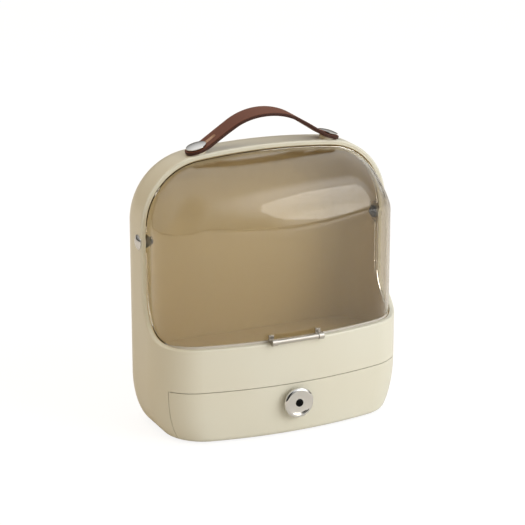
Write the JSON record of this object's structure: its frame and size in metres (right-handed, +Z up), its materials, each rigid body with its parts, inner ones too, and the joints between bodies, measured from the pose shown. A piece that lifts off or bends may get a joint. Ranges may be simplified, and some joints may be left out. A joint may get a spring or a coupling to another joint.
{
  "type": "makeup organizer",
  "caption": "Desk-top makeup organizer with a bowed tub, arched frame, domed clear lid that turns up, wrapped drawer with round knob and carrying strap.",
  "frame": {"origin": "on the surface that the organizer stands on, under the middle of its overall width and depth, knob included", "axes": "+Z up, the front with the lid and the drawer faces -Y, +X to the right seen from the front"},
  "size_m": [0.2556, 0.133, 0.2928],
  "materials": {
    "cream_abs": "gloss, injection moulded",
    "clear_styrene": "clear, faintly smoky",
    "leather": "brown, smooth",
    "chrome": "polished",
    "satin_steel": "satin",
    "dark_steel": "black oxide",
    "brass": "turned",
    "acetal": "natural white",
    "inner_plastic": "cream, fine matt",
    "rubber": "matt black"
  },
  "bodies": {
    "housing": {"housing": "cream_abs", "base_plate": "inner_plastic", "compartment_floor": "cream_abs", "runner_left": "acetal", "runner_right": "acetal", "base_screws": "dark_steel", "runner_screws": "dark_steel", "rubber_feet": "rubber", "pivot_screw_left": "chrome", "pivot_screw_right": "chrome", "pivot_bush_left": "acetal", "pivot_bush_right": "acetal", "pivot_nut_left": "dark_steel", "pivot_nut_right": "dark_steel", "strap": "leather", "strap_cap_left": "chrome", "strap_cap_right": "chrome", "strap_insert_left": "brass", "strap_insert_right": "brass"},
    "lid": {"lid": "clear_styrene", "lid_handle": "satin_steel", "lid_clip_left": "satin_steel", "lid_clip_right": "satin_steel"},
    "drawer": {"drawer_front": "cream_abs", "drawer_tray": "inner_plastic", "drawer_knob": "chrome", "knob_screw": "dark_steel", "tray_screws": "dark_steel"}
  },
  "joints": [
    {"name": "lid_turn", "type": "hinge", "parent": "housing", "child": "lid", "pos_m": [0, 0.0135, 0.1813], "axis": [-1, 0, 0], "range_deg": [0, 38]},
    {"name": "drawer_slide", "type": "slide", "parent": "housing", "child": "drawer", "axis": [0, -1, 0], "range_m": [0, 0.063]}
  ]
}
